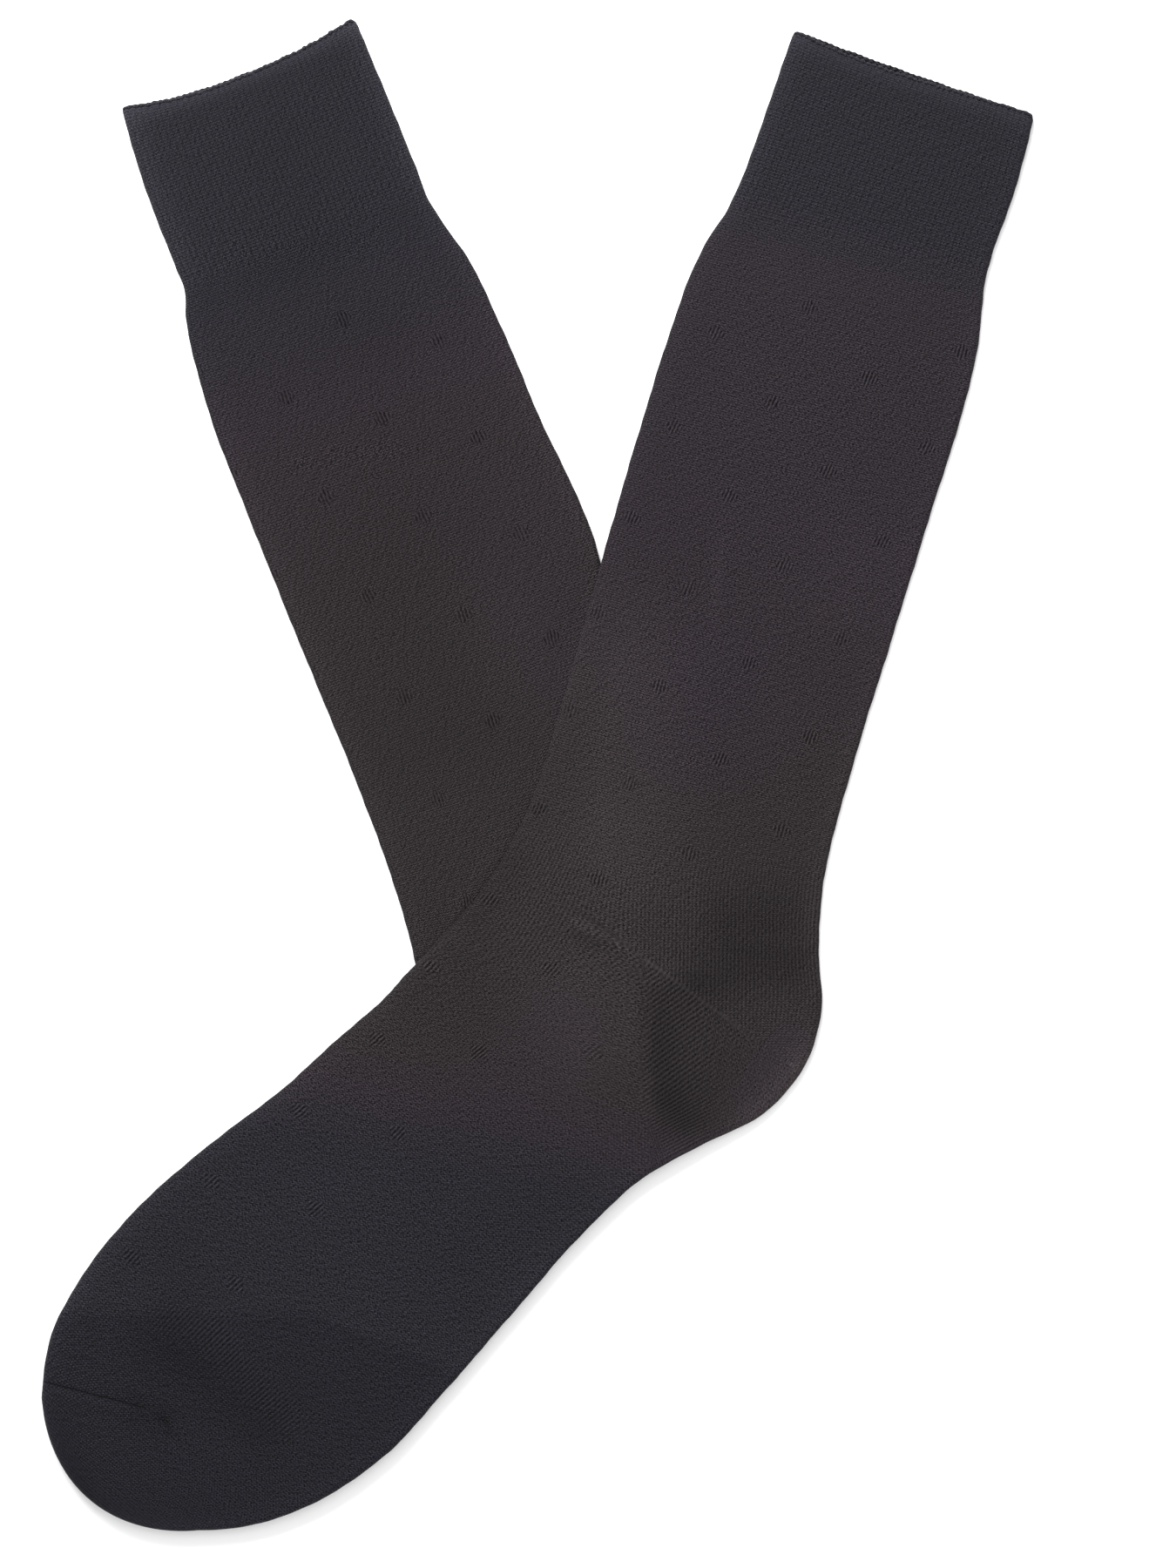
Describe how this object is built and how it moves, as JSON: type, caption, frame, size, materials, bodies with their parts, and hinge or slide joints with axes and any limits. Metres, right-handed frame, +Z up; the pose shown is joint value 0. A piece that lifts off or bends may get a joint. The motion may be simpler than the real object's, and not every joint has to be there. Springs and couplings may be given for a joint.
{
  "type": "pair of socks",
  "caption": "Pair of fine-knit calf socks laid flat in a V, one across the other, each with a ribbed cuff, turned heel and closed toe.",
  "frame": {"origin": "middle of the pair's bounding box, on the surface that it lies on", "axes": "+Z up, away from the surface; +Y from the toes towards the cuffs; +X to the right of someone who looks down with the cuffs pointing away"},
  "size_m": [0.2907, 0.4425, 0.0063],
  "materials": {
    "front_knit": "fine mercerised cotton knit, near-black with a faint violet cast, soft sheen",
    "back_knit": "fine mercerised cotton knit, near-black with a faint violet cast, soft sheen"
  },
  "bodies": {
    "root": {"sock_front": "front_knit", "sock_back": "back_knit"}
  },
  "joints": []
}
